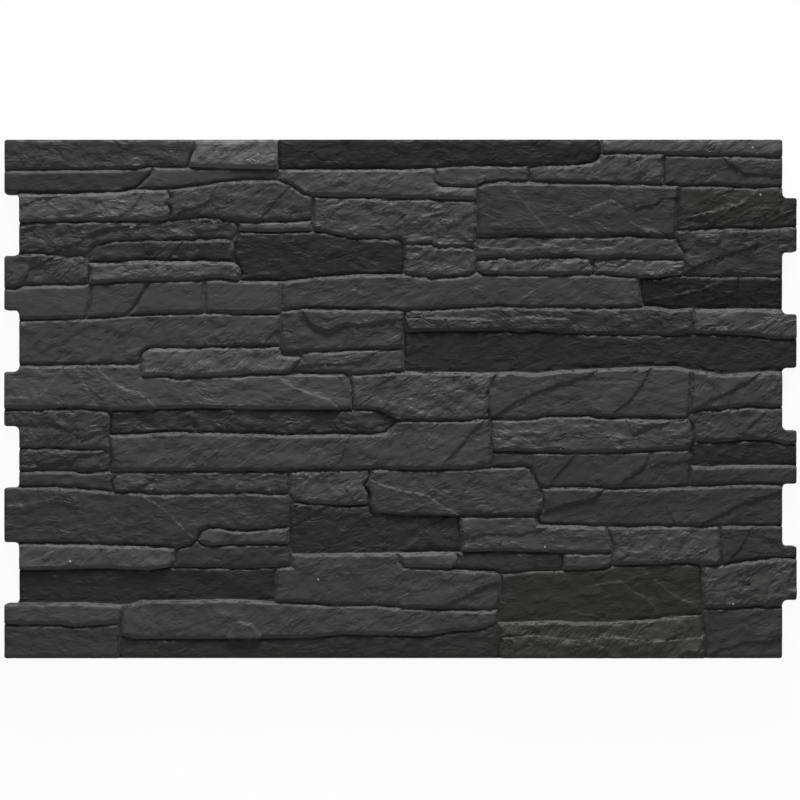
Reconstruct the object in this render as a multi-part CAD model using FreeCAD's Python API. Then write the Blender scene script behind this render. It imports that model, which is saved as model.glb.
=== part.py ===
import FreeCAD, Part
import math
import os

# Facade cladding panel in one moulded piece: a flat-backed slab whose two ends are combs of
# tabs and notches, with a relief of stacked split slate standing on its front.
# Millimetres. X runs along the courses, Y up the wall, Z out of the wall.

COVER_LENGTH = 600.0      # face covered by one panel, left tab ends to the right body edge
COVER_HEIGHT = 400.0      # height of a panel and pitch of the rows
TOTAL_THICKNESS = 22.0    # back to the highest stone, where the mould is flat
BACKING_THICKNESS = 14.5  # back to the floor of the joints
LEFT_TABS = 5             # tabs on the left end, the first and the last flush with the corners
LEFT_TAB_WIDTH = 42.0
RIGHT_TAB_WIDTH = 41.4    # slimmer than a left notch, so that neighbours slide together
NOTCH_DEPTH = 11.5
RIGHT_TAB_REACH = 11.1
OUTER_CORNER_RADIUS = 2.0
INNER_CORNER_RADIUS = 4.0
JOINT_WIDTH = 0.4         # gap between two stones at the floor of the joint
STONE_DRAFT_ANGLE = 7.0   # lean of the stones' sides, which lets the casting leave its mould
WORN_EDGE_WIDTH = 1.8     # blunted rim round the face of a stone
WORN_EDGE_DROP = 1.4
ROOT_DEPTH = 4.0          # how far a stone's foot is sunk into the slab
LEDGE_LEAN_ANGLE = 45.0   # lean of the broken edge of a layer, from upright
LEDGE_ROOT = 2.0          # how far a layer starts below the face that it stands on
LEDGE_REACH = 3.0         # how high a layer's broken edge is carried before its face trims it

# The stones are laid out on a pattern of these dimensions, which is stretched to the cover size.
PATTERN_LENGTH = 600.0
PATTERN_HEIGHT = 400.0

# Each stone: height of its face above the joint floor at the middle, slope of the face in
# degrees up the wall and along the course, then its outline in pattern millimetres from the
# lower left corner. Outlines that run over the edge of the pattern are trimmed by the comb.
STONES = {
    "a1": (4.5, 2, 0, [
        (-3, 376), (92, 377), (115, 379), (142, 378.7), (143, 384), (146.5, 392), (146, 403),
        (-3, 403)]),
    "a2": (6.2, -3, 0, [
        (142, 378.7), (211, 377.2), (211, 403), (146, 403), (146.5, 392), (143, 384)]),
    "a3": (4.9, 5, 0, [
        (211, 377.2), (305, 377.3), (332, 378), (345, 380), (404, 379.6), (440, 380.2), (452, 382),
        (458, 384.5), (460, 389.5), (459, 403), (211, 403)]),
    "a4": (5.8, 0, 0, [
        (460, 389.5), (614, 386.3), (614, 403), (459, 403)]),
    "b1": (4.5, 1, 0, [
        (-3, 359), (20, 358.3), (45, 358.2), (72, 358.8), (90, 359.5), (101, 361.6), (113.5, 374),
        (115, 379), (92, 377), (50, 376.6), (-3, 376)]),
    "b3": (4.5, -1, -1, [
        (101, 361.6), (126, 362), (150, 364.5), (170, 367.5), (185, 368.7), (211, 368.5), (211, 377.2),
        (115, 379), (113.5, 374)]),
    "b4": (5.8, -1, 0, [
        (211, 368.5), (220, 365.5), (231, 358), (238, 356.3), (364, 353.5), (364.3, 363.6),
        (337, 363.4), (331.5, 367), (333.5, 373), (332, 378), (305, 377.3), (211, 377.2)]),
    "b5": (4.9, 0, 0, [
        (332, 378), (333.5, 373), (331.5, 367), (337, 363.4), (364.3, 363.6), (372, 366.5),
        (385, 367.5), (404, 367.2), (405, 373), (404, 379.6), (345, 380)]),
    "b6": (5.8, 0, 1, [
        (404, 367.2), (508.5, 365), (508.5, 388.6), (460, 389.5), (458, 384.5), (452, 382),
        (440, 380.2), (404, 379.6), (405, 373)]),
    "b7": (4.9, 1, 0, [
        (508.5, 365), (520, 364), (545, 364.8), (577, 363), (614, 363.5), (614, 386.3), (560, 387),
        (508.5, 388.6)]),
    "c1": (6.6, -2, 0, [
        (9, 335.8), (85, 337.6), (100, 336.6), (127, 338.3), (128.5, 345), (126, 350), (127.5, 355),
        (126, 362), (101, 361.6), (90, 359.5), (45, 358.2), (9, 358.5)]),
    "c2": (5.8, 0, 0, [
        (127, 338.3), (150, 340.6), (160, 340.2), (180, 336.8), (222, 337), (237.5, 338), (238, 356.3),
        (231, 358), (220, 365.5), (211, 368.5), (185, 368.7), (170, 367.5), (150, 364.5), (126, 362),
        (127.5, 355), (126, 350), (128.5, 345)]),
    "c3": (5.8, -1, 0, [
        (238, 329.5), (250, 328), (266, 324.5), (305, 323), (308, 318.8), (329, 320), (335, 316.8),
        (364, 316.6), (364, 353.5), (238, 356.3), (237.5, 338)]),
    "c4": (6.2, 0, 0, [
        (364, 324.8), (400, 325.8), (462, 325), (480, 326.4), (510, 325), (518, 324), (520, 364),
        (508.5, 365), (385, 367.5), (372, 366.5), (364.3, 363.6)]),
    "c5": (4.9, 2, 0, [
        (518.5, 329.6), (560, 331.4), (580, 331), (614, 333), (614, 363.5), (577, 363), (545, 364.8),
        (520, 364)]),
    "d1": (4.9, 1, 0, [
        (9, 311.8), (30, 312.2), (37, 310.6), (60, 310.6), (65, 312), (69, 317.5), (80, 321.3),
        (100, 322.3), (175.5, 323.6), (181, 329.5), (180, 336.8), (160, 340.2), (150, 340.6),
        (127, 338.3), (100, 336.6), (85, 337.6), (9, 335.8)]),
    "d2": (5.8, -4, 0, [
        (181, 329.5), (200, 328.8), (238, 329.5), (237.5, 338), (222, 337), (180, 336.8)]),
    "d3": (4.9, 2, 0, [
        (64.5, 304.8), (112, 307), (125, 306.2), (150, 307), (177, 305.5), (176.8, 315), (174, 321),
        (168, 323.6), (150, 322.8), (100, 322.3), (80, 321.3), (69, 317.5), (65, 312)]),
    "d4": (4.5, 3, 0, [
        (181, 291.3), (213, 290.4), (240, 293.8), (275, 296.2), (308, 296), (308.5, 310), (308, 318.8),
        (305, 323), (266, 324.5), (250, 328), (238, 329.5), (200, 328.8), (181, 329.5), (177, 321),
        (177, 305.5), (180.5, 303), (182.5, 298)]),
    "d5": (5.4, 1, 0, [
        (308, 296), (320, 294.8), (330, 292.8), (358, 295.4), (364, 298.5), (364, 316.6), (335, 316.8),
        (329, 320), (308, 318.8), (308.5, 310)]),
    "d6": (5.8, 0, 0, [
        (364.3, 308), (385, 309), (400, 308), (415, 309.6), (430, 309.8), (455, 308.4), (480, 309),
        (524, 307.6), (524, 313.5), (520, 318), (518, 324), (510, 325), (480, 326.4), (462, 325),
        (400, 325.8), (364, 324.8)]),
    "d7": (5.8, -4, 0, [
        (364, 298.5), (370, 296.4), (400, 295.6), (454, 296.2), (455, 300), (453, 305), (455, 308.4),
        (430, 309.8), (415, 309.6), (400, 308), (385, 309), (364.3, 308)]),
    "d8": (5.8, -4, 0, [
        (454, 296.2), (462, 296.2), (490, 293.3), (505, 293.6), (516, 295.4), (522, 295.5),
        (524.5, 300), (524, 307.6), (480, 309), (455, 308.4), (453, 305), (455, 300)]),
    "d9": (4.9, 2, 0, [
        (522, 295.5), (530, 294.4), (614, 294.2), (614, 333), (580, 331), (560, 331.4), (518.5, 329.6),
        (518, 324), (520, 318), (524, 313.5), (524.5, 300)]),
    "e1": (4.9, 0, 0, [
        (-3, 285.3), (8, 285), (14, 287), (40, 287.8), (52, 287.3), (65, 289.3), (65.5, 297),
        (64.5, 304.8), (63, 309), (60, 310.6), (37, 310.6), (30, 312.2), (9, 311.8), (-3, 310.5)]),
    "e2": (6.6, -4, 0, [
        (65, 289.3), (112, 291.1), (130, 291), (165, 292.8), (181, 291.3), (182.5, 298), (180.5, 303),
        (177, 305.5), (150, 307), (125, 306.2), (112, 307), (64.5, 304.8), (65.5, 297)]),
    "e3": (5.4, -1, 0, [
        (-3, 260.4), (63, 262.2), (66, 276), (66.5, 289.4), (52, 287.3), (40, 287.8), (14, 287),
        (8, 285), (-3, 285.3)]),
    "e4": (5.4, -1, 0, [
        (63, 262.2), (95, 264.4), (103, 274), (112, 291.1), (66.5, 289.4), (66, 276)]),
    "e5": (5.8, -1, 0, [
        (95, 264.4), (154.5, 266.8), (154, 280), (154.5, 291.9), (112, 291.1), (103, 274)]),
    "e6": (5.8, -1, 0, [
        (154.5, 266.8), (195, 265.4), (213, 265.8), (213, 290.4), (181, 291.3), (165, 292.8),
        (154.5, 291.9), (154, 280)]),
    "e7": (5.4, 0, 0, [
        (213, 268.2), (230, 269.8), (308.5, 268.2), (380, 271.4), (392, 270.6), (455, 270),
        (493, 271.2), (491, 280), (490, 293.3), (462, 296.2), (400, 295.6), (370, 296.4), (364, 298.5),
        (358, 295.4), (330, 292.8), (320, 294.8), (308, 296), (275, 296.2), (240, 293.8),
        (213, 290.4)]),
    "e8": (3.2, 5, 0, [
        (493, 271.2), (503, 270.8), (515, 268.6), (528, 270), (545, 269), (560, 269.6), (614, 269),
        (614, 294.2), (530, 294.4), (522, 295.5), (516, 295.4), (505, 293.6), (490, 293.3),
        (491, 280)]),
    "f1": (5.4, 1, 0, [
        (9, 226), (92, 226.6), (106, 228.5), (105, 233), (107, 236.5), (112, 238.8), (213, 240.6),
        (213, 265.8), (195, 265.4), (154.5, 266.8), (95, 264.4), (80, 263), (50, 261.6), (9, 260.8)]),
    "f2": (5.4, 0, 0, [
        (213, 235.6), (308, 239), (308.5, 268.2), (230, 269.8), (213, 268.2)]),
    "f3": (5.8, 2, 0, [
        (308.5, 251.5), (325, 252.2), (390, 252.4), (398, 251.2), (410, 252.4), (450, 249.8),
        (480, 249.8), (515, 248.6), (531, 250.5), (531.5, 260), (531, 269.6), (528, 270), (515, 268.6),
        (503, 270.8), (493, 271.2), (455, 270), (392, 270.6), (380, 271.4), (308.5, 268.2)]),
    "f4": (5.8, -2, 0, [
        (531, 250.5), (575, 249.2), (596, 246), (614, 246.4), (614, 269), (560, 269.6), (545, 269),
        (531, 269.6), (531.5, 260)]),
    "f5": (3.6, 4, 0, [
        (308, 221.2), (380, 219.8), (390, 221), (410, 219.8), (430, 222), (500, 225), (518, 225),
        (530, 222.2), (541, 221), (552, 218.6), (590, 221.2), (614, 221.6), (614, 246.4), (596, 246),
        (575, 249.2), (531, 250.5), (515, 248.6), (480, 249.8), (450, 249.8), (410, 252.4),
        (398, 251.2), (390, 252.4), (325, 252.2), (308.5, 251.5)]),
    "g1": (6.6, -4, 0, [
        (105.5, 217.5), (120, 218.2), (135, 215.8), (150, 217.2), (214, 219.4), (221, 221.5),
        (226, 226), (229.5, 231.5), (222, 233.2), (214, 233.6), (213, 240.6), (112, 238.8),
        (107, 236.5), (105, 233), (106, 228.5)]),
    "g2": (4.9, 0, 0, [
        (221, 221.5), (230, 219.6), (262, 220.2), (268, 218.6), (308, 221.2), (308, 239), (285, 238.2),
        (265, 237.8), (240, 236.6), (229.5, 235), (229.5, 231.5)]),
    "h1": (6.2, -2, 0, [
        (-3, 192), (60, 193), (82, 190.8), (150, 193.2), (200, 191.8), (268.5, 191.8), (268, 206),
        (266, 215), (262, 219.6), (214, 219.4), (150, 217.2), (135, 215.8), (120, 218.2),
        (105.5, 217.5), (105, 227), (50, 226), (-3, 226)]),
    "h2": (6.2, -3, 0, [
        (268.5, 191.8), (288, 191.6), (296, 188.2), (303, 183.4), (320, 183.8), (350, 183.2),
        (374, 185), (373, 193), (373, 203), (380, 219.8), (308, 221.2), (268, 218.6), (266, 215),
        (268, 206)]),
    "h3": (6.2, 0, 0, [
        (374, 185), (395, 184), (410, 184.8), (420, 187), (450, 187), (460, 185.6), (527, 184.8),
        (529, 190), (530, 222.2), (518, 225), (500, 225), (430, 222), (410, 219.8), (390, 221),
        (380, 219.8), (373, 203), (373, 193)]),
    "h4": (6.2, 0, 0, [
        (529, 190), (537, 191.8), (550, 192), (575, 194.2), (590, 193.6), (614, 194.2), (614, 221.6),
        (590, 221.2), (552, 218.6), (541, 221), (530, 222.2)]),
    "i1": (5.4, 0, 0, [
        (-3, 161), (20, 161.8), (50, 161.4), (60, 160.6), (81, 161), (82, 190.8), (60, 193),
        (-3, 192)]),
    "i2": (4.5, 4, 0, [
        (81, 172), (130, 174.4), (180, 173.6), (220, 172), (265, 173.2), (280, 172.8), (294, 174),
        (299, 178.5), (303, 183.4), (296, 188.2), (288, 191.6), (200, 191.8), (150, 193.2),
        (82, 190.8)]),
    "i3": (6.2, -1, 0, [
        (81, 144.2), (219.5, 144.6), (240, 145.6), (262, 145.4), (290, 146.4), (320, 145.4),
        (340, 145.6), (376, 147.6), (376, 159.8), (374, 185), (350, 183.2), (320, 183.8), (303, 183.4),
        (299, 178.5), (294, 174), (280, 172.8), (265, 173.2), (220, 172), (180, 173.6), (130, 174.4),
        (81, 172), (81, 161), (83, 152)]),
    "i4": (4.5, 2, 0, [
        (9, 144.2), (30, 144.6), (60, 143.6), (81, 144.2), (83, 152), (81.5, 157), (77, 160.9),
        (60, 160.6), (50, 161.4), (20, 161.8), (9, 161)]),
    "i5": (6.6, -1, 0, [
        (376, 159.8), (430, 158.6), (470, 159), (528, 161), (531.5, 167.2), (531, 178), (527, 184.8),
        (460, 185.6), (450, 187), (420, 187), (410, 184.8), (395, 184), (374, 185)]),
    "i6": (5.4, 0, 0, [
        (531.5, 167.2), (545, 166.6), (575, 168.6), (590, 168.4), (604, 165), (614, 165.2),
        (614, 194.2), (590, 193.6), (575, 194.2), (550, 192), (537, 191.8), (529, 190), (527, 184.8),
        (531, 178)]),
    "i7": (3.6, 4, 0, [
        (529.5, 148.2), (545, 147.6), (560, 148.8), (614, 148.8), (614, 165.2), (604, 165),
        (590, 168.4), (575, 168.6), (545, 166.6), (531.5, 167.2), (528, 161), (531, 156)]),
    "i8": (4.9, 2, 0, [
        (528.5, 132.5), (575, 134), (614, 133.4), (614, 148.8), (560, 148.8), (545, 147.6),
        (529.5, 148.2)]),
    "j1": (4.9, 2, 0, [
        (9, 132.6), (55, 131.4), (84, 128.2), (83, 136), (92, 144.3), (60, 143.6), (30, 144.6),
        (9, 144.2)]),
    "j2": (5.4, 0, 0, [
        (84, 128.2), (97, 128.2), (125, 126.2), (135, 127.2), (190, 127.6), (219.5, 126.4),
        (219.5, 144.6), (92, 144.3), (86, 141), (83, 136)]),
    "j3": (6.2, -3, 0, [
        (219.5, 126.4), (224, 121), (233, 119.4), (262, 118), (281.5, 118.4), (281.8, 128), (278, 133),
        (281, 139), (281.5, 146), (240, 145.6), (219.5, 144.6)]),
    "j4": (6.2, -2, 0, [
        (283, 112.6), (300, 111), (350.5, 109.8), (411, 109.8), (415, 114.5), (415.5, 121), (413, 130),
        (409, 138), (406, 146.5), (402, 148.6), (340, 145.6), (320, 145.4), (290, 146.4), (281.5, 146),
        (281, 139), (278, 133), (281.8, 128), (281.5, 118.4)]),
    "j5": (4.9, 2, 0, [
        (376, 147.6), (402, 148.6), (406, 146.5), (409, 138), (413.5, 131.4), (450, 131.6),
        (470, 130.8), (500, 131.2), (528.5, 132.5), (529.5, 148.2), (531, 156), (528, 161), (470, 159),
        (430, 158.6), (376, 159.8)]),
    "j6": (4.9, 2, 0, [
        (411, 109.8), (412, 103.2), (465, 101.8), (614, 102), (614, 133.4), (575, 134), (500, 131.2),
        (470, 130.8), (450, 131.6), (413.5, 131.4), (415.5, 121), (415, 114.5)]),
    "k1": (5.4, 1, 0, [
        (-3, 88.6), (50, 88.4), (125, 86), (133, 84.8), (143, 87.4), (149, 91), (152, 97.5),
        (158, 101.2), (166, 101), (176, 98.6), (190, 98.4), (220, 101.2), (219.5, 126.4), (190, 127.6),
        (135, 127.2), (125, 126.2), (97, 128.2), (84, 128.2), (55, 131.4), (-3, 132.8)]),
    "k2": (5.8, -1, 0, [
        (149, 91), (152.5, 88), (160, 87), (190, 88), (220, 88), (220, 101.2), (190, 98.4),
        (176, 98.6), (166, 101), (158, 101.2), (152, 97.5)]),
    "k3": (4.1, 4, 0, [
        (221.5, 80.4), (304, 81), (330, 82), (353, 81.8), (350.5, 109.8), (300, 111), (283, 112.6),
        (281.5, 118.4), (262, 118), (233, 119.4), (224, 121), (220, 118), (220, 88)]),
    "k4": (6.2, -2, 0, [
        (353, 81.8), (385, 83), (400, 82), (447, 80.8), (469.5, 81.6), (468.5, 90), (464.5, 101.8),
        (412, 103.2), (411, 109.8), (350.5, 109.8)]),
    "k5": (6.2, -3, 0, [
        (469, 72), (485, 71.8), (520, 73.4), (552.5, 72.2), (552, 102.4), (464.5, 101.8), (468.5, 90),
        (469.5, 81.6)]),
    "k6": (4.9, 2, 0, [
        (552.5, 72.2), (592, 77), (614, 76.8), (614, 102), (552, 102.4)]),
    "l1": (6.6, -3, 0, [
        (9, 68), (70, 69.2), (112, 68), (127, 70.2), (131.5, 74.5), (131.5, 80), (133, 84.8),
        (125, 86), (50, 88.4), (9, 88.6)]),
    "l2": (4.9, 1, 0, [
        (127, 70.2), (180, 69.2), (209.5, 69.8), (221, 71.2), (221.5, 80.4), (220, 88), (190, 88),
        (160, 87), (152.5, 88), (149, 91), (143, 87.4), (133, 84.8), (131.5, 80), (131.5, 74.5)]),
    "l3": (3.2, 5, 0, [
        (9, 42.6), (60, 42.8), (92, 41.2), (97, 41.6), (106, 44.4), (180, 45.2), (208.5, 43.6),
        (208.5, 58), (209.5, 69.8), (180, 69.2), (127, 70.2), (112, 68), (70, 69.2), (9, 68)]),
    "l4": (5.4, 0, 0, [
        (208.5, 43.6), (260, 40.8), (290, 41), (300, 39.4), (375, 36.6), (381, 38.6), (382.5, 46),
        (382, 63), (379, 67), (308, 70.4), (305.5, 74), (304, 81), (221.5, 80.4), (221, 71.2),
        (209.5, 69.8), (208.5, 58)]),
    "l5": (6.2, -3, 0, [
        (308, 70.4), (345, 68.8), (349.5, 72), (350, 77), (348, 82), (304, 81), (305.5, 74)]),
    "l6": (4.5, 2, 0, [
        (345, 68.8), (379, 67), (383, 65.2), (391, 65.4), (400, 67), (430, 67.8), (431, 74),
        (430, 81.6), (400, 82), (385, 83), (348, 82), (350, 77)]),
    "l7": (5.8, -2, 0, [
        (430, 67.8), (462, 69), (469, 72), (469.5, 81.6), (447, 80.8), (430, 81.6), (431, 74)]),
    "l8": (3.6, 3, 0, [
        (380, 27.2), (425, 28.6), (440, 27.8), (470, 27.8), (490, 29), (510, 31.4), (537.5, 33),
        (539, 40), (537.5, 58), (538, 68), (536, 72.8), (520, 73.4), (485, 71.8), (469, 72), (462, 69),
        (400, 67), (391, 65.4), (383, 65.2), (382.5, 46), (381, 38.6)]),
    "l9": (6.2, -1, 0, [
        (538.5, 38.6), (614, 40.4), (614, 76.8), (592, 77), (552.5, 72.2), (540, 71.5), (538, 68),
        (537.5, 58), (539, 45)]),
    "m1": (5.8, -1, 0, [
        (-3, 26.4), (40, 26), (55, 24.2), (89.5, 26.8), (92, 36), (92, 41.2), (60, 42.8), (30, 42.4),
        (-3, 43)]),
    "m2": (4.9, 0, 0, [
        (-3, -3), (89, -3), (88.5, 12), (89.5, 26.8), (55, 24.2), (40, 26), (-3, 26.4)]),
    "m3": (5.8, -1, 0, [
        (90, 17.5), (100, 15), (150, 14.8), (235, 15.8), (260, 18.4), (325, 17.2), (345, 20.4),
        (365, 21.8), (378, 25.4), (380, 27.2), (381, 38.6), (375, 36.6), (300, 39.4), (290, 41),
        (260, 40.8), (180, 45.2), (106, 44.4), (97, 41.6), (92, 36), (89.5, 26.8)]),
    "n1": (4.1, 4, 0, [
        (89, -3), (382, -3), (382, 12), (380, 27.2), (365, 21.8), (345, 20.4), (325, 17.2),
        (260, 18.4), (235, 15.8), (150, 14.8), (100, 15), (90, 17.5), (88.5, 12)]),
    "n2": (5.4, 0, 0, [
        (382, -3), (540.5, -3), (541.5, 12), (537.5, 33), (510, 31.4), (490, 29), (470, 27.8),
        (440, 27.8), (425, 28.6), (380, 27.2), (382, 12)]),
    "n3": (4.5, 2, 0, [
        (540.5, -3), (614, -3), (614, 40.4), (538.5, 38.6), (537.5, 33), (541.5, 12)]),
}

# Layers of slate that are left on a stone's face. Each has its stone, its height above the face
# at the broken edge and at its far side, the broken edge, and the corners behind that edge.
LAYERS = [
    ("c4", 1.4, 0.6,
     [(386, 372), (391, 362), (400, 354), (406, 346), (412, 339), (417, 333), (428, 316)], [(355, 316),
     (355, 372)]),
    ("c4", 0.8, -0.3,
     [(468, 354), (477, 348), (483, 337), (490, 333), (508, 327.5), (518, 320)], [(440, 318),
     (430, 338)]),
    ("c4", 0.9, 0.4,
     [(486, 345), (495, 348), (503, 350), (507, 354), (524, 355.5)], [(524, 372), (480, 372)]),
    ("h3", 1.5, 0.3,
     [(372, 182), (386, 191), (396, 198), (412, 205), (430, 211), (450, 216.5), (464, 228)],
     [(366, 228)]),
    ("h3", 0.9, -0.3,
     [(463, 178), (472, 191), (480, 196), (485, 201), (493, 212), (502, 232)], [(455, 232),
     (448, 178)]),
    ("h4", 1.3, 0.5,
     [(522, 183), (536, 193), (545, 199), (560, 205), (577, 214), (590, 228)], [(518, 228)]),
    ("h1", 1.1, -0.3,
     [(205, 224), (216, 214), (225, 209), (243, 202), (250, 199.5), (257, 195), (262, 184)],
     [(190, 184), (176, 200), (188, 216)]),
    ("h1", 1.0, 0.2,
     [(52, 232), (44, 222), (34, 211), (27, 203), (18, 202), (-8, 200)], [(-8, 184), (76, 184)]),
    ("h1", 0.9, -0.3,
     [(66, 232), (75, 221), (80, 216), (90, 209), (104, 205), (110, 201), (126, 184)], [(84, 184),
     (60, 205)]),
    ("f2", 1.2, 0.6,
     [(226, 276), (231, 264), (235, 257), (243, 253), (250, 251), (262, 256.5), (280, 256.5),
     (316, 263)], [(316, 276)]),
    ("g2", 0.9, 0.4,
     [(216, 221), (222, 221.5), (227, 225), (245, 226.5), (260, 226.5), (275, 228), (300, 244)],
     [(216, 244)]),
    ("i5", 0.8, 0.5,
     [(368, 170.5), (385, 170), (400, 170), (409, 165), (418, 152)], [(368, 152)]),
    ("i5", 1.1, 0.8,
     [(484, 172), (490, 175), (500, 178), (510, 181), (536, 187)], [(536, 194), (476, 194)]),
    ("i3", 0.7, -0.3,
     [(268, 178), (266, 170), (261, 157), (255, 138)], [(225, 138), (225, 178)]),
    ("i3", 1.2, 0.3,
     [(374, 190), (367, 179), (360, 173), (355, 166), (342, 153), (332, 140)], [(296, 140),
     (300, 190)]),
    ("j5", 1.0, 0.4,
     [(447, 167), (437, 152), (430, 145), (425, 139), (414, 124)], [(368, 124), (368, 167)]),
    ("j5", 1.0, -0.3,
     [(501, 167), (495, 150), (490, 144), (478, 136), (470, 122)], [(448, 122), (452, 167)]),
    ("j5", 0.8, 0.6,
     [(498, 147.5), (507, 150), (515, 150), (536, 153)], [(536, 168), (503, 168)]),
    ("j4", 1.4, 0.8,
     [(274, 141), (286, 137), (293, 134), (305, 130), (318, 128), (328, 125), (335, 120), (348, 112),
     (362, 104)], [(274, 104)]),
    ("j6", 1.2, 0.3,
     [(402, 106), (411, 110), (420, 113.5), (430, 117), (440, 120), (455, 122), (472, 140)],
     [(402, 140)]),
    ("j6", 1.0, -0.3,
     [(522, 94), (533, 101), (547, 108), (555, 111), (570, 118.5), (604, 130)], [(560, 144),
     (505, 128)]),
    ("k1", 0.9, 0.1,
     [(-8, 117), (15, 119), (22, 121), (35, 122.5), (40, 126), (48, 138)], [(84, 138), (74, 108),
     (-8, 98)]),
    ("k1", 1.0, -0.3,
     [(96, 131), (115, 121), (122, 117), (128, 112), (132, 107), (137, 102), (156, 84)], [(120, 80),
     (92, 100)]),
    ("k3", 1.0, 0.5,
     [(212, 98), (228, 105), (243, 113), (260, 126)], [(212, 126)]),
    ("k3", 0.8, 0.2,
     [(302, 74), (310, 85), (320, 96), (328, 101), (352, 116)], [(360, 74)]),
    ("k4", 0.8, 0.3,
     [(346, 89), (360, 93.5), (367, 95.5), (375, 96), (395, 94.5), (418, 100)], [(418, 116),
     (346, 116)]),
    ("l4", 1.3, 0.2,
     [(334, 32), (348, 44.5), (356, 47.5), (365, 52), (373, 56), (390, 61)], [(390, 76), (330, 76),
     (304, 40)]),
    ("l8", 1.0, -0.3,
     [(476, 60), (485, 52), (495, 47.5), (500, 42.5), (514, 22)], [(440, 22), (450, 56)]),
    ("l8", 0.9, -0.3,
     [(486, 80), (493, 69), (499, 63), (505, 59), (512, 52), (520, 47), (532, 42), (545, 28)],
     [(520, 30), (496, 50), (470, 72)]),
    ("m3", 1.0, 0.2,
     [(166, 6), (171, 17), (175, 22), (181, 29), (190, 27), (195, 23), (206, 6)], [(196, 2), (176, 2)]),
    ("n3", 0.9, -0.3,
     [(540, 0), (552, 6), (562, 8), (570, 12), (590, 13), (618, 22)], [(618, 34), (545, 30)]),
    ("i6", 0.8, -0.3,
     [(556, 160), (563, 167), (567, 172), (575, 178), (588, 190)], [(560, 196), (540, 176)]),
    ("d9", 1.0, -0.3,
     [(514, 291), (524, 297), (540, 305), (555, 310), (585, 320)], [(565, 334), (516, 330)]),
    ("c5", 0.9, 0.2,
     [(524, 340), (545, 345), (562, 349), (570, 353), (592, 370)], [(620, 350), (560, 334)]),
    ("d1", 1.3, 0.6,
     [(24, 305), (35, 311), (45, 316), (60, 321), (68, 326), (75, 330), (98, 333), (124, 340)],
     [(120, 350), (4, 350), (4, 305)]),
    ("e1", 1.2, 0.8,
     [(0, 276), (10, 286), (17, 293), (20, 300), (33, 306), (48, 318)], [(-8, 318), (-8, 276)]),
    ("d3", 0.8, -0.3,
     [(121, 300), (127, 309), (132, 314), (144, 330)], [(100, 330), (92, 300)]),
    ("c2", 0.9, 0.2,
     [(192, 330), (199, 341), (204, 345), (208, 351), (226, 370)], [(172, 376), (160, 352),
     (172, 330)]),
    ("c2", 0.8, 0.2,
     [(116, 334), (130, 340), (140, 346), (156, 349)], [(168, 372), (116, 372)]),
    ("c1", 1.0, 0.9,
     [(2, 342), (15, 348.5), (22, 352), (30, 354.5), (42, 355.5), (66, 364)], [(2, 364)]),
    ("c1", 0.8, -0.3,
     [(82, 332), (88, 339), (98, 345), (112, 366)], [(70, 366), (58, 332)]),
    ("b7", 0.9, 0.5,
     [(546, 394), (558, 382), (565, 377), (570, 373), (620, 370)], [(620, 394)]),
    ("e8", 0.8, 0.2,
     [(486, 275), (510, 279), (520, 281), (535, 284), (566, 296)], [(566, 262), (486, 262)]),
    ("f1", 1.0, -0.3,
     [(194, 232), (200, 240), (203, 246), (208, 251), (220, 259)], [(190, 272), (168, 236)]),
    ("i4", 1.1, 0.8,
     [(8, 139), (22, 145.5), (37, 150), (53, 151.5), (57, 155), (65, 156), (88, 162)], [(76, 168),
     (4, 168), (4, 139)]),
    ("j2", 0.9, 0.5,
     [(90, 122), (98, 129), (105, 132), (112, 135), (124, 152)], [(76, 152), (76, 122)]),
    ("k6", 0.8, 0.3,
     [(556, 66), (562, 79), (567, 83), (570, 88), (580, 108)], [(548, 108), (548, 66)]),
    ("i1", 0.9, 0.7,
     [(-8, 180), (15, 180), (28, 180), (35, 181), (50, 176), (60, 177), (88, 179.5)], [(88, 198),
     (-8, 198)]),
    ("f3", 1.0, 0.6,
     [(304, 262), (340, 263), (372, 261), (400, 264), (436, 262), (440, 255), (446, 245)],
     [(304, 245)]),
    ("d6", 0.9, 0.5,
     [(358, 318), (392, 316), (420, 318), (446, 315), (470, 317), (484, 328)], [(484, 304),
     (358, 304)]),
    ("n2", 0.9, 0.4,
     [(378, 16), (410, 18), (440, 14), (470, 17), (500, 13), (545, 17)], [(545, -8), (378, -8)]),
]


def rounded_wire(corners):
    """Closed wire through (x, y, radius) corners, each corner an arc tangent to both sides."""
    starts = []
    ends = []
    middles = []
    for index, (x, y, radius) in enumerate(corners):
        before = corners[index - 1]
        after = corners[(index + 1) % len(corners)]
        here = FreeCAD.Vector(x, y, 0)
        to_before = (FreeCAD.Vector(before[0], before[1], 0) - here).normalize()
        to_after = (FreeCAD.Vector(after[0], after[1], 0) - here).normalize()
        half_angle = to_before.getAngle(to_after) / 2
        inward = (to_before + to_after).normalize()
        centre = here + inward * (radius / math.sin(half_angle))
        starts.append(here + to_before * (radius / math.tan(half_angle)))
        ends.append(here + to_after * (radius / math.tan(half_angle)))
        middles.append(centre - inward * radius)
    edges = []
    for index in range(len(corners)):
        edges.append(Part.Arc(starts[index], middles[index], ends[index]).toShape())
        follower = starts[(index + 1) % len(corners)]
        edges.append(Part.LineSegment(ends[index], follower).toShape())
    return Part.Wire(edges)


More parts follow.
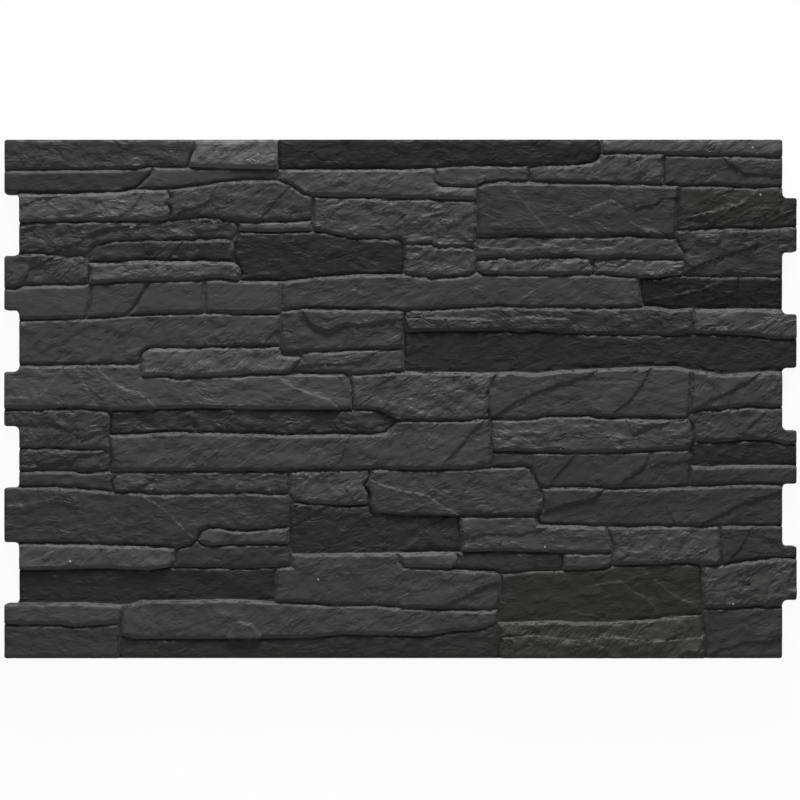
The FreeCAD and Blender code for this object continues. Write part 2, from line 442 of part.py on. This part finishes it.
def comb_corners():
    """Corners of the panel outline, counter-clockwise from the lower left corner."""
    outer = OUTER_CORNER_RADIUS
    inner = INNER_CORNER_RADIUS
    pitch = (COVER_HEIGHT - LEFT_TAB_WIDTH) / (LEFT_TABS - 1)
    corners = [(0, 0, outer), (COVER_LENGTH, 0, outer)]
    for index in range(LEFT_TABS - 1):
        middle = LEFT_TAB_WIDTH / 2 + pitch * (index + 0.5)
        low = middle - RIGHT_TAB_WIDTH / 2
        high = middle + RIGHT_TAB_WIDTH / 2
        corners.append((COVER_LENGTH, low, inner))
        corners.append((COVER_LENGTH + RIGHT_TAB_REACH, low, outer))
        corners.append((COVER_LENGTH + RIGHT_TAB_REACH, high, outer))
        corners.append((COVER_LENGTH, high, inner))
    corners.append((COVER_LENGTH, COVER_HEIGHT, outer))
    corners.append((0, COVER_HEIGHT, outer))
    for index in reversed(range(LEFT_TABS - 1)):
        low = LEFT_TAB_WIDTH + pitch * index
        high = pitch * (index + 1)
        corners.append((0, high, outer))
        corners.append((NOTCH_DEPTH, high, inner))
        corners.append((NOTCH_DEPTH, low, inner))
        corners.append((0, low, outer))
    return corners


def on_panel(pattern_points):
    """Points of the pattern, stretched to the cover size."""
    scale_x = COVER_LENGTH / PATTERN_LENGTH
    scale_y = COVER_HEIGHT / PATTERN_HEIGHT
    return [FreeCAD.Vector(x * scale_x, y * scale_y, 0) for x, y in pattern_points]


def inward_moves(outline):
    """For each corner, the move that shifts both of its sides inward by one unit."""
    moves = []
    for index, corner in enumerate(outline):
        before = outline[index - 1]
        after = outline[(index + 1) % len(outline)]
        first = (corner - before).normalize()
        second = (after - corner).normalize()
        first_normal = FreeCAD.Vector(-first.y, first.x, 0)
        second_normal = FreeCAD.Vector(-second.y, second.x, 0)
        share = 1 + first_normal.dot(second_normal)
        moves.append((first_normal + second_normal) * (1 / share))
    return moves


class Slope:
    """A sloping level: its height over a point of the plan."""

    def __init__(self, level, middle, along, up):
        self.level = level
        self.middle = middle
        self.along = along
        self.up = up

    def height(self, point):
        away = point - self.middle
        return self.level + self.along * away.x + self.up * away.y

    def raised(self, crest, far_points, rise, far_rise):
        """The level of a layer that stands rise above this one at its broken edge."""
        start = crest[0]
        chord = (crest[-1] - start).normalize()
        across = FreeCAD.Vector(-chord.y, chord.x, 0)
        reach = sum((point - start).dot(across) for point in far_points) / len(far_points)
        fall = (far_rise - rise) / reach
        level = self.height(start) + rise
        return Slope(level, start, self.along + fall * across.x, self.up + fall * across.y)


def tapered_solid(outline, slope, rings):
    """Solid through rings of (inset from the outline, height over the sloping level)."""
    moves = inward_moves(outline)
    loops = []
    for inset, lift in rings:
        loop = []
        for corner, move in zip(outline, moves):
            point = corner + move * inset
            point.z = slope.height(point) + lift
            loop.append(point)
        loops.append(loop)
    faces = [Part.Face(Part.makePolygon(loop + loop[:1])) for loop in (loops[0], loops[-1])]
    for lower, upper in zip(loops, loops[1:]):
        for index in range(len(outline)):
            after = (index + 1) % len(outline)
            side = [lower[index], lower[after], upper[after], upper[index], lower[index]]
            faces.append(Part.Face(Part.makePolygon(side)))
    return Part.makeSolid(Part.makeShell(faces))


def stone_body(outline, slope, height):
    """A stone with drafted sides and a blunted rim; its foot lies inside the slab."""
    draft = math.tan(math.radians(STONE_DRAFT_ANGLE))
    foot_inset = JOINT_WIDTH / 2 - ROOT_DEPTH * draft
    rim_inset = JOINT_WIDTH / 2 + (height - WORN_EDGE_DROP) * draft
    return tapered_solid(outline, slope, [
        (foot_inset, -height - ROOT_DEPTH),
        (rim_inset, -WORN_EDGE_DROP),
        (rim_inset + WORN_EDGE_WIDTH, 0),
    ])


def layer_body(outline, slope, height, rise, far_rise, crest, far_points):
    """A layer left on a stone: the stone itself at a raised level, within the layer's edges."""
    raised = stone_body(outline, slope.raised(crest, far_points, rise, far_rise), height)
    draft = math.tan(math.radians(STONE_DRAFT_ANGLE))
    flush_with_sides = tapered_solid(outline, slope, [
        (JOINT_WIDTH / 2, -height),
        (JOINT_WIDTH / 2 + (height + LEDGE_REACH) * draft, LEDGE_REACH),
    ])
    edge = crest + far_points
    turn = sum(edge[index - 1].cross(edge[index]).z for index in range(len(edge)))
    if turn < 0:
        edge.reverse()
    lean = math.tan(math.radians(LEDGE_LEAN_ANGLE))
    within = tapered_solid(edge, slope, [
        (-LEDGE_ROOT * lean, -LEDGE_ROOT),
        (LEDGE_REACH * lean, LEDGE_REACH),
    ])
    return raised.common(flush_with_sides).common(within)


comb = Part.Face(rounded_wire(comb_corners()))
slab = comb.extrude(FreeCAD.Vector(0, 0, BACKING_THICKNESS))
envelope = comb.extrude(FreeCAD.Vector(0, 0, TOTAL_THICKNESS))

stones = []
for name, (height, slope_up, slope_along, pattern_outline) in STONES.items():
    outline = on_panel(pattern_outline)
    middle = sum(outline, FreeCAD.Vector()) * (1 / len(outline))
    slope = Slope(BACKING_THICKNESS + height, middle,
                  math.tan(math.radians(slope_along)), math.tan(math.radians(slope_up)))
    stones.append(stone_body(outline, slope, height).common(envelope))
    for stone_name, rise, far_rise, crest, far_points in LAYERS:
        if stone_name == name:
            layer = layer_body(outline, slope, height, rise, far_rise,
                               on_panel(crest), on_panel(far_points))
            stones.append(layer.common(envelope))

panel = slab.fuse(stones).removeSplitter()
panel = panel.Solids[0]

# The panel's origin lies under the middle of its bounding box, on the flat back.
panel.translate(FreeCAD.Vector(-(COVER_LENGTH + RIGHT_TAB_REACH) / 2, -COVER_HEIGHT / 2, 0))

os.makedirs("parts", exist_ok=True)
panel.exportStep("parts/slate_panel.step")
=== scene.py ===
import math
from collections import deque

import bmesh
import bpy
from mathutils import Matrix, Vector, noise
from mathutils.bvhtree import BVHTree


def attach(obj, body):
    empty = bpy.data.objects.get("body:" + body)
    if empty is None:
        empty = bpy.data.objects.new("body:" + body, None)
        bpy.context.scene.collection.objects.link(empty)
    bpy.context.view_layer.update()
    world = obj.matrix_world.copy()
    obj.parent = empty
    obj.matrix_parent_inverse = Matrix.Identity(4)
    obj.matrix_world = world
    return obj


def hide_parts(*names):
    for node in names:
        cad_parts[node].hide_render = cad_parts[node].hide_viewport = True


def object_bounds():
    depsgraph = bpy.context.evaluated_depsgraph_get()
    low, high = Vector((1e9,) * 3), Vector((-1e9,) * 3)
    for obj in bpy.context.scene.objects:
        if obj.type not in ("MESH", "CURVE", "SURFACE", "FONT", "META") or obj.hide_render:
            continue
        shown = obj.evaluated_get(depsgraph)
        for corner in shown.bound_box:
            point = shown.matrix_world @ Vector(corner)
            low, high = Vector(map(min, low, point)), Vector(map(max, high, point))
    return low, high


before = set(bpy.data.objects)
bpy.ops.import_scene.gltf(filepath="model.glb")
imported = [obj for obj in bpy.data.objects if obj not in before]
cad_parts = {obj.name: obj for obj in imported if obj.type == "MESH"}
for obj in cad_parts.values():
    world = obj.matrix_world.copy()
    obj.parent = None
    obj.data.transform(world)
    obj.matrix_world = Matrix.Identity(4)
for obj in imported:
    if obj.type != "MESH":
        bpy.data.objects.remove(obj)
cad_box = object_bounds()

# The panel: one casting of near-black rigid foam with a satin skin, taken off a mould of
# stacked split slate. It is glued to the wall by its flat back, and its tabs slide into the
# notches of the panels beside it.

MM = 0.001
PATTERN_LEFT = cad_box[0].x
PATTERN_BOTTOM = cad_box[0].y
JOINT_FLOOR = 14.5 * MM           # over the back

# Each stone: a point on it (mm from the panel's lower left corner), how light its black is, and
# how rough its split face is. The lightness is set to the stone's brightness, so it is partly the
# stone's own black and partly painted light and shade for how its face is turned to the light.
STONE_LOOKS = [
    (70, 388, 0.90, 1.00), (178, 390, 1.48, 1.20), (330, 389, 0.62, 0.80), (540, 394, 1.10, 1.00),
    (70, 367, 0.80, 0.50), (160, 372, 0.95, 0.40), (290, 366, 1.10, 0.90), (370, 373, 1.00, 0.70),
    (480, 377, 1.05, 1.24), (560, 376, 0.85, 0.80), (60, 347, 1.17, 1.24), (180, 352, 0.95, 1.10),
    (290, 340, 1.00, 1.32), (440, 345, 0.83, 0.70), (570, 348, 0.72, 1.00), (100, 329, 0.97, 1.36),
    (210, 333, 1.15, 0.60), (120, 314, 0.77, 1.00), (245, 310, 0.62, 0.80), (335, 306, 1.05, 1.20),
    (440, 317, 0.95, 1.00), (410, 302, 1.10, 1.36), (490, 301, 1.10, 1.32), (570, 312, 0.80, 1.10),
    (35, 299, 0.97, 1.24), (120, 298, 1.15, 1.24), (30, 274, 1.00, 0.40), (80, 276, 1.00, 0.50),
    (130, 279, 1.00, 0.40), (185, 278, 1.00, 0.50), (350, 282, 0.95, 0.70), (560, 282, 0.42, 0.80),
    (60, 244, 1.00, 0.90), (260, 254, 0.95, 0.90), (420, 261, 0.85, 1.20), (575, 258, 1.00, 1.24),
    (430, 237, 0.66, 0.70), (160, 229, 1.20, 1.20), (270, 229, 1.05, 1.00), (130, 205, 1.10, 0.80),
    (320, 203, 1.05, 1.36), (450, 204, 0.98, 0.70), (570, 207, 1.00, 0.90), (45, 177, 0.97, 1.28),
    (190, 183, 0.80, 1.28), (230, 159, 1.00, 0.90), (45, 152, 0.87, 1.24), (450, 172, 1.05, 1.20),
    (575, 180, 0.95, 1.00), (570, 157, 0.65, 0.90), (570, 141, 0.85, 0.60), (45, 138, 0.90, 0.70),
    (150, 135, 0.99, 1.28), (248, 132, 1.10, 1.36), (350, 128, 0.95, 0.90), (450, 145, 0.90, 0.60),
    (510, 117, 0.85, 0.60), (70, 108, 0.90, 0.80), (190, 93, 1.05, 0.80), (290, 95, 0.75, 0.90),
    (400, 93, 1.05, 0.90), (510, 87, 1.05, 1.24), (580, 88, 0.85, 0.80), (70, 78, 1.15, 0.90),
    (180, 77, 0.85, 0.60), (110, 56, 0.67, 0.70), (290, 56, 0.98, 0.80), (327, 75, 1.10, 0.60),
    (390, 74, 0.80, 0.60), (445, 75, 1.00, 0.60), (470, 50, 0.74, 0.60), (575, 57, 1.00, 1.28),
    (40, 34, 1.05, 0.60), (40, 12, 0.90, 0.60), (220, 29, 1.02, 0.80), (230, 7, 0.80, 0.70),
    (460, 14, 0.93, 1.24), (575, 20, 0.88, 0.70),
]
JOINT_LOOK = (1.05, 0.3)          # the same two values for the joints, the sides and the back

# The few stones whose black has a trace of olive in it, and how much.
OLIVE_STONES = {(470, 50): 0.8, (570, 348): 0.4, (290, 95): 0.2, (390, 74): 0.2, (460, 14): 0.4,
                (575, 57): 0.2, (230, 7): 0.3}

# The front of the solid, cut into small cells that can take the relief of the split faces.
CELL = 2.1 * MM                   # largest cell
SAME_POINT = 1e-7
FLAT_ANGLE = math.radians(0.3)    # faces that meet at less than this are one face
UPRIGHT = 0.02                    # a face whose normal rises less than this is a side
FLOOR_TOLERANCE = 1e-6


def dice(mesh, faces, axis, low, high):
    """Cuts the faces across one axis until no cell is longer than CELL."""
    steps = round((high - low) / CELL)
    if steps < 2 or not faces:
        return faces
    middle = low + (high - low) * (steps // 2) / steps
    place = Vector((0, 0, 0))
    place[axis] = middle
    normal = Vector((0, 0, 0))
    normal[axis] = 1
    edges = {edge for face in faces for edge in face.edges}
    verts = {vert for face in faces for vert in face.verts}
    cut = bmesh.ops.bisect_plane(mesh, geom=[*verts, *edges, *faces], dist=SAME_POINT,
                                 plane_co=place, plane_no=normal)
    after = [item for item in cut["geom"] if isinstance(item, bmesh.types.BMFace)]
    below = [face for face in after if face.calc_center_median()[axis] < middle]
    above = [face for face in after if face.calc_center_median()[axis] >= middle]
    return dice(mesh, below, axis, low, middle) + dice(mesh, above, axis, middle, high)


def is_side_over_joints(face):
    """True for an upright face that belongs to the relief alone, not to the slab's rim."""
    lowest = min(vert.co.z for vert in face.verts)
    return abs(face.normal.z) <= UPRIGHT and lowest > JOINT_FLOOR - FLOOR_TOLERANCE


relief = bmesh.new()
relief.from_mesh(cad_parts["slate_panel"].data)
tone_and_painted_shade_layer = relief.faces.layers.float.new("tone_and_painted_shade")
stone_layer = relief.faces.layers.float.new("stone")
rough_layer = relief.faces.layers.float.new("rough")
olive_layer = relief.faces.layers.float.new("olive")
bmesh.ops.remove_doubles(relief, verts=relief.verts, dist=SAME_POINT)
bmesh.ops.dissolve_limit(relief, angle_limit=FLAT_ANGLE, verts=relief.verts,
                         edges=relief.edges, delimit=set())
relief.normal_update()
front = [face for face in relief.faces if face.normal.z > UPRIGHT]
front += [face for face in relief.faces if is_side_over_joints(face)]
front = dice(relief, front, 1, cad_box[0].y, cad_box[1].y)
front = set(dice(relief, front, 0, cad_box[0].x, cad_box[1].x))
relief.normal_update()

# Every stone gets its own number, so that no grain runs across a joint. A number spreads from
# the stone's point over its faces and stops in the hollows, then fills what is left.
VALLEY_ANGLE = math.radians(-15)
STONE_FOOT = 0.3 * MM             # a face lower than this over the joints' floor is no stone
LOOKOUT = 0.1                     # m over the back, from where the stones are looked for


def spread(numbers, waiting, members, past_valleys):
    """Numbers every face that hangs together with the waiting ones."""
    waiting = deque(waiting)
    while waiting:
        face = waiting.popleft()
        for edge in face.edges:
            if past_valleys or not edge.calc_face_angle_signed() < VALLEY_ANGLE:
                for other in edge.link_faces:
                    if other in members and other not in numbers:
                        numbers[other] = numbers[face]
                        waiting.append(other)


stone_faces = {face for face in front if face.calc_center_median().z > JOINT_FLOOR + STONE_FOOT}
stone_of = {}
relief.faces.index_update()
relief.faces.ensure_lookup_table()
surface_tree = BVHTree.FromBMesh(relief)
for number, (along, up, tone_and_painted_shade, roughness) in enumerate(STONE_LOOKS):
    above = Vector((PATTERN_LEFT + along * MM, PATTERN_BOTTOM + up * MM, LOOKOUT))
    struck = relief.faces[surface_tree.ray_cast(above, Vector((0, 0, -1)))[2]]
    stone_of[struck] = number
    spread(stone_of, [struck], stone_faces, past_valleys=False)
spread(stone_of, list(stone_of), stone_faces, past_valleys=True)

# A casting is never sharp: the joints are filled and rounded, and every edge is a little soft.
JOINT_FILLING = 2.4 * MM          # over the flat floor of the joints
JOINT_ROUNDING = 3.5 * MM         # how high over that floor the rounding reaches
ROUNDING_PASSES = 7
EDGE_SOFTNESS = 0.15

inner_verts = [vert for vert in relief.verts if front.issuperset(vert.link_faces)]
for vert in inner_verts:
    vert.co.z = max(vert.co.z, JOINT_FLOOR + JOINT_FILLING)
joint_verts = [vert for vert in inner_verts if vert.co.z < JOINT_FLOOR + JOINT_ROUNDING]
for rounding in range(ROUNDING_PASSES):
    bmesh.ops.smooth_vert(relief, verts=joint_verts, factor=0.5, use_axis_z=True)
bmesh.ops.smooth_vert(relief, verts=inner_verts, factor=EDGE_SOFTNESS, use_axis_z=True)

# The split faces: thin slanting layers that each end in a broken edge, with lumps between.
# Lengths and heights that aren't multiplied by MM are in mm.
STONE_SHIFT = (37.0, -23.0, 5.0)  # from stone to stone, so that no two are alike
LAYER_NOISE = (0.6, 2.0, 3)       # fading of the finer waves, their step, and their number
LUMP_NOISE = (0.8, 2.0, 2)
LAYER_SLANT = 0.35
LAYER_SPACING = 12
LAYER_LENGTH = 30
LAYER_BEND = 2.4
LAYER_HEIGHT = 1.6
BREAK_STEEPNESS = 7               # of a broken edge against the rest of its layer
PATCH_LENGTH = 24
PATCH_WIDTH = 12
LUMP_LENGTH = 9
LUMP_WIDTH = 5
LUMP_HEIGHT = 0.8
SPLIT_DEPTH = 0.6
SPLIT_START = 1.8 * MM            # height over the joints' floor where a side begins to be split
SPLIT_RANGE = 2.0 * MM            # height from there to the fully split face
OUTER_RIM_DROP = 0.8 * MM         # of the stones where the panel ends
SHORTEST_STEP = 0.8 * MM          # a steep edge shorter than this in plan is brought level
CRUMBS_FROM = 3.0 * MM            # height over the joints' floor where crumbs are looked for


def split_face(x, y, number):
    """Height in mm that the split surface of a stone adds at a point of the panel."""
    place = Vector((x + STONE_SHIFT[0] * number, y + STONE_SHIFT[1] * number,
                    STONE_SHIFT[2] * number))
    slant = place.y - LAYER_SLANT * place.x
    bend_place = Vector((place.x / LAYER_LENGTH, slant / LAYER_SPACING, place.z))
    bend = noise.fractal(bend_place, *LAYER_NOISE)
    phase = slant / LAYER_SPACING + LAYER_BEND * bend
    along_layer = phase - math.floor(phase)
    layer = min(BREAK_STEEPNESS * along_layer, 1 - along_layer)
    if number % 4 == 0:
        layer = min(along_layer, BREAK_STEEPNESS * (1 - along_layer))
    patch_place = Vector((place.x / PATCH_LENGTH, place.y / PATCH_WIDTH, place.z + 20))
    shown = noise.noise(patch_place) * 2.0 + 0.5
    lump_place = Vector((place.x / LUMP_LENGTH, slant / LUMP_WIDTH + bend, place.z + 40))
    lumps = noise.fractal(lump_place, *LUMP_NOISE)
    layers = LAYER_HEIGHT * layer * min(max(shown, 0.0), 1.0)
    return layers + LUMP_HEIGHT * lumps - SPLIT_DEPTH


stone_of_vert = {vert: number for face, number in stone_of.items() for vert in face.verts}
inner_verts = set(inner_verts)
for vert, number in stone_of_vert.items():
    freedom = (vert.co.z - JOINT_FLOOR - SPLIT_START) / SPLIT_RANGE
    if freedom > 0:
        roughness = STONE_LOOKS[number][3]
        split = split_face(vert.co.x / MM, vert.co.y / MM, number) * min(freedom, 1.0)
        vert.co.z = min(vert.co.z + roughness * split * MM, cad_box[1].z)
        if vert not in inner_verts:
            vert.co.z -= OUTER_RIM_DROP

# No crumbs stand on the rims: the ends of a very short steep edge are brought level.
for edge in relief.edges:
    first, second = edge.verts
    across = (first.co - second.co).xy.length
    if (across < SHORTEST_STEP and abs(first.co.z - second.co.z) > across
            and min(first.co.z, second.co.z) > JOINT_FLOOR + CRUMBS_FROM
            and first in inner_verts and second in inner_verts):
        first.co.z = second.co.z = (first.co.z + second.co.z) / 2
relief.normal_update()

CREASE_ANGLE = math.radians(62)   # edges that are bent more than this stay crisp
# Each face takes its stone's lightness: partly the stone's own black, partly painted light and
# shade for how its face is turned to the light.
for face in relief.faces:
    number = stone_of.get(face)
    spot, (tone_and_painted_shade, roughness) = None, JOINT_LOOK
    if number is not None:
        spot, (tone_and_painted_shade, roughness) = STONE_LOOKS[number][:2], STONE_LOOKS[number][2:]
    face[tone_and_painted_shade_layer] = tone_and_painted_shade
    face[stone_layer] = number or 0
    face[rough_layer] = roughness
    face[olive_layer] = OLIVE_STONES.get(spot, 0.0)
    face.smooth = True
for edge in relief.edges:
    edge.smooth = edge.is_manifold and edge.calc_face_angle() < CREASE_ANGLE

panel_mesh = bpy.data.meshes.new("slate_relief")
relief.to_mesh(panel_mesh)
relief.free()
panel_mesh.attributes.remove(panel_mesh.attributes["custom_normal"])
panel = bpy.data.objects.new("slate_relief", panel_mesh)
bpy.context.collection.objects.link(panel)


class Value:
    """A shader socket that can be reckoned with: each operator adds a Math node."""

    def __init__(self, tree, socket):
        self.tree = tree
        self.socket = socket

    def math(self, operation, *others, clamp=False):
        return self.tree.node("ShaderNodeMath", {"operation": operation, "use_clamp": clamp},
                              dict(enumerate([self, *others])))

    def __add__(self, other):
        return self.math("ADD", other)

    __radd__ = __add__

    def __sub__(self, other):
        return self.math("SUBTRACT", other)

    def __rsub__(self, other):
        return (self * -1) + other

    def __mul__(self, other):
        return self.math("MULTIPLY", other)

    __rmul__ = __mul__


class Shader:
    """A material's node tree, with one method that makes any node."""

    def __init__(self, name):
        self.material = bpy.data.materials.new(name)
        self.material.use_nodes = True
        self.tree = self.material.node_tree
        self.tree.nodes.clear()

    def node(self, kind, settings, inputs, output=0):
        made = self.tree.nodes.new(kind)
        for name, value in settings.items():
            setattr(made, name, value)
        for name, value in inputs.items():
            socket = made.inputs[name]
            if isinstance(value, Value):
                self.tree.links.new(value.socket, socket)
            else:
                socket.default_value = value
        return Value(self, made.outputs[output]) if made.outputs else None


# The skin: black pigment through and through, each stone lighter or darker, partly by its own
# black and partly by painted light and shade for how its face is turned to the light, over the
# fine splitting of the slate that the mould was taken from. Heights are in mm.
DARKEST = (0.002, 0.002, 0.002, 1)
LIGHTEST = (0.080, 0.080, 0.080, 1)
LIGHTEST_OLIVE = (0.080, 0.080, 0.071, 1)
PALE_SPOT_GREY = (0.30, 0.30, 0.30, 1)
FINE_LAYER_HEIGHT = 0.32
CRUMPLE_HEIGHT = 2.7
CREASE_HEIGHT = 0.35
SAND_HEIGHT = 0.03
FINE_LAYERS = 190                 # per metre
SKIN_SHIFT = (0.37, 0.23, 0.051)  # m, from stone to stone
TURN_STEP = 0.618                 # of a whole range of turns, from stone to stone
TURN_RANGE = 0.9                  # radians

# Tiny pale grey spots painted into the dark skin: where they lie, in mm as for the stones.
PALE_SPOTS = [(577, 394), (583, 357.5), (51, 75), (242, 61), (562, 42), (417, 86)]
PALE_SPOT_REACH = 1.35 * MM
PALE_SPOT_RAGGEDNESS = 1.1 * MM

slate = Shader("split_slate")
place = slate.node("ShaderNodeTexCoord", {}, {}, "Object")
stone, tone_and_painted_shade, rough, olive = [
    slate.node("ShaderNodeAttribute", {"attribute_name": name}, {}, "Fac")
    for name in ("stone", "tone_and_painted_shade", "rough", "olive")]
shift = slate.node("ShaderNodeCombineXYZ", {},
                   {"X": stone * SKIN_SHIFT[0], "Y": stone * SKIN_SHIFT[1],
                    "Z": stone * SKIN_SHIFT[2]})
own_place = slate.node("ShaderNodeVectorMath", {"operation": "ADD"}, {0: place, 1: shift})


def drawn_out(length, angle):
    """The stone's own place, for a pattern drawn out along a line that turns with the stone."""
    turn = (stone * TURN_STEP).math("FRACT") * TURN_RANGE + math.radians(angle)
    rotation = slate.node("ShaderNodeCombineXYZ", {}, {"Z": turn * -1})
    turned = slate.node("ShaderNodeMapping", {"vector_type": "POINT"},
                        {"Vector": own_place, "Rotation": rotation})
    return slate.node("ShaderNodeMapping", {"vector_type": "POINT"},
                      {"Vector": turned, "Scale": (1 / length, 1, 1)})


def grain(vector, scale, detail, roughness=0.5, distortion=0.0):
    """Noise from 0 to 1, with its scale per metre."""
    return slate.node("ShaderNodeTexNoise", {},
                      {"Vector": vector, "Scale": scale, "Detail": detail,
                       "Roughness": roughness, "Distortion": distortion}, "Fac")


layer_place = drawn_out(length=2.2, angle=2)
layer_bend = grain(layer_place, scale=90, detail=3, roughness=0.55, distortion=0.3)
across = slate.node("ShaderNodeSeparateXYZ", {}, {"Vector": layer_place}, "Y")
along_layer = (across * FINE_LAYERS + layer_bend * 5).math("FRACT")
layer = (along_layer * 6).math("MINIMUM", 1 - along_layer)
patches = grain(own_place, scale=65, detail=2)
shown = ((patches - 0.38) * 4).math("MULTIPLY", 1.0, clamp=True)
lumps = grain(drawn_out(length=1.8, angle=-14), scale=120, detail=2, roughness=0.6,
              distortion=0.5)
creases = grain(drawn_out(length=2.2, angle=6), scale=230, detail=1, distortion=0.5)
sand = grain(own_place, scale=800, detail=2, roughness=0.6)
cloud = grain(own_place, scale=25, detail=2)

crumple = CRUMPLE_HEIGHT * (lumps - 0.5) * (0.4 + 0.8 * shown)
splitting = FINE_LAYER_HEIGHT * layer * shown + crumple + CREASE_HEIGHT * creases
bump = slate.node("ShaderNodeBump", {},
                  {"Strength": 1.0, "Distance": MM,
                   "Height": rough * splitting + SAND_HEIGHT * sand}, "Normal")

# The stone's lightness, partly its own black and partly painted light and shade, made a little
# cloudy.
shade = tone_and_painted_shade * tone_and_painted_shade * (0.80 + 0.4 * cloud)
lightest = slate.node("ShaderNodeMix", {"data_type": "RGBA"},
                      {"Factor": olive, "A": LIGHTEST, "B": LIGHTEST_OLIVE}, "Result")
colour = slate.node("ShaderNodeMix", {"data_type": "RGBA"},
                    {"Factor": shade.math("MULTIPLY", 0.5, clamp=True),
                     "A": DARKEST, "B": lightest}, "Result")
flat_place = slate.node("ShaderNodeVectorMath", {"operation": "MULTIPLY"},
                        {0: place, 1: (1, 1, 0)})
# Pale grey spots painted at the listed points, with ragged edges, only above the joints' floor.
pale_spotted = 0
for along, up in PALE_SPOTS:
    pale_spot = (PATTERN_LEFT + along * MM, PATTERN_BOTTOM + up * MM, 0)
    gap = slate.node("ShaderNodeVectorMath", {"operation": "DISTANCE"},
                     {0: flat_place, 1: pale_spot}, "Value")
    pale_spotted = (gap + sand * PALE_SPOT_RAGGEDNESS).math("LESS_THAN", PALE_SPOT_REACH) + pale_spotted
over_back = slate.node("ShaderNodeSeparateXYZ", {}, {"Vector": place}, "Z")
pale_spotted = pale_spotted * over_back.math("GREATER_THAN", JOINT_FLOOR)
colour = slate.node("ShaderNodeMix", {"data_type": "RGBA"},
                    {"Factor": pale_spotted, "A": colour, "B": PALE_SPOT_GREY}, "Result")
skin = slate.node("ShaderNodeBsdfPrincipled", {},
                  {"Base Color": colour, "Roughness": 0.46 + 0.12 * sand, "Normal": bump,
                   "Specular IOR Level": 0.18})
slate.node("ShaderNodeOutputMaterial", {}, {"Surface": skin})
panel_mesh.materials.append(slate.material)

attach(panel, "root")
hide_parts("slate_panel")

# The floor: a plain sheet of pale paper just under the panel's back. It looks almost white to
# the camera and keeps a soft shadow round the panel.
FLOOR_REACH = 6                   # m, to every side
FLOOR_DROP = 0.5 * MM
PAPER_WHITE = 0.94                # share of plain white that the camera sees

floor_mesh = bpy.data.meshes.new("floor")
floor_shape = bmesh.new()
bmesh.ops.create_grid(floor_shape, x_segments=1, y_segments=1, size=FLOOR_REACH)
bmesh.ops.translate(floor_shape, verts=floor_shape.verts, vec=(0, 0, -FLOOR_DROP))
floor_shape.to_mesh(floor_mesh)
floor_shape.free()
floor = bpy.data.objects.new("floor", floor_mesh)
bpy.context.collection.objects.link(floor)
paper = Shader("pale_floor")
seen = paper.node("ShaderNodeLightPath", {}, {}, "Is Camera Ray")
matt = paper.node("ShaderNodeBsdfDiffuse", {}, {"Color": (0.85, 0.85, 0.85, 1)})
glow = paper.node("ShaderNodeEmission", {}, {"Color": (1, 1, 1, 1), "Strength": 1.0})
both = paper.node("ShaderNodeMixShader", {}, {"Fac": seen * PAPER_WHITE, 1: matt, 2: glow})
paper.node("ShaderNodeOutputMaterial", {}, {"Surface": both})
floor_mesh.materials.append(paper.material)

# The light: a wide low softbox beyond the panel's top edge, which brings out the relief, a weak
# one over it, a weak one beyond its bottom edge, and a faint even sky.


def softbox(name, place, width, depth, power):
    """An area lamp at a place, turned to the panel."""
    lamp = bpy.data.lights.new(name, "AREA")
    lamp.shape = "RECTANGLE"
    lamp.size = width
    lamp.size_y = depth
    lamp.energy = power
    holder = bpy.data.objects.new(name, lamp)
    bpy.context.collection.objects.link(holder)
    holder.location = place
    holder.rotation_euler = (-Vector(place)).to_track_quat("-Z", "Y").to_euler()


softbox("sky_light", place=(0.1, 2.9, 1.0), width=2.2, depth=0.6, power=185)
softbox("front_light", place=(0.2, 0.3, 3.6), width=2.0, depth=2.0, power=14)
softbox("fill_light", place=(-0.3, -2.8, 1.2), width=2.6, depth=1.0, power=20)

scene = bpy.context.scene
scene.view_settings.view_transform = "Standard"
scene.world = bpy.data.worlds.new("studio")
scene.world.use_nodes = True
sky = scene.world.node_tree.nodes["Background"]
sky.inputs["Color"].default_value = (1, 1, 1, 1)
sky.inputs["Strength"].default_value = 0.20

# The camera: straight over the panel, as in the photograph, with the stones' faces at the
# photograph's scale.
PHOTO_SCALE = 0.7714 * MM         # of one pixel at the stones' faces
IMAGE_SIDE = 800
OFF_CENTRE = (-0.5, -1.0)         # pixels from the panel's middle to the image's
CAMERA_HEIGHT = 3.0               # over the stones' faces
FACE_HEIGHT = 18 * MM             # over the back

camera_data = bpy.data.cameras.new("camera")
camera = bpy.data.objects.new("camera", camera_data)
bpy.context.collection.objects.link(camera)
camera_data.sensor_width = 36
camera_data.lens = camera_data.sensor_width * CAMERA_HEIGHT / (PHOTO_SCALE * IMAGE_SIDE)
camera_data.clip_start = 0.1
camera.location = (OFF_CENTRE[0] * PHOTO_SCALE, OFF_CENTRE[1] * PHOTO_SCALE,
                   CAMERA_HEIGHT + FACE_HEIGHT)
scene.camera = camera
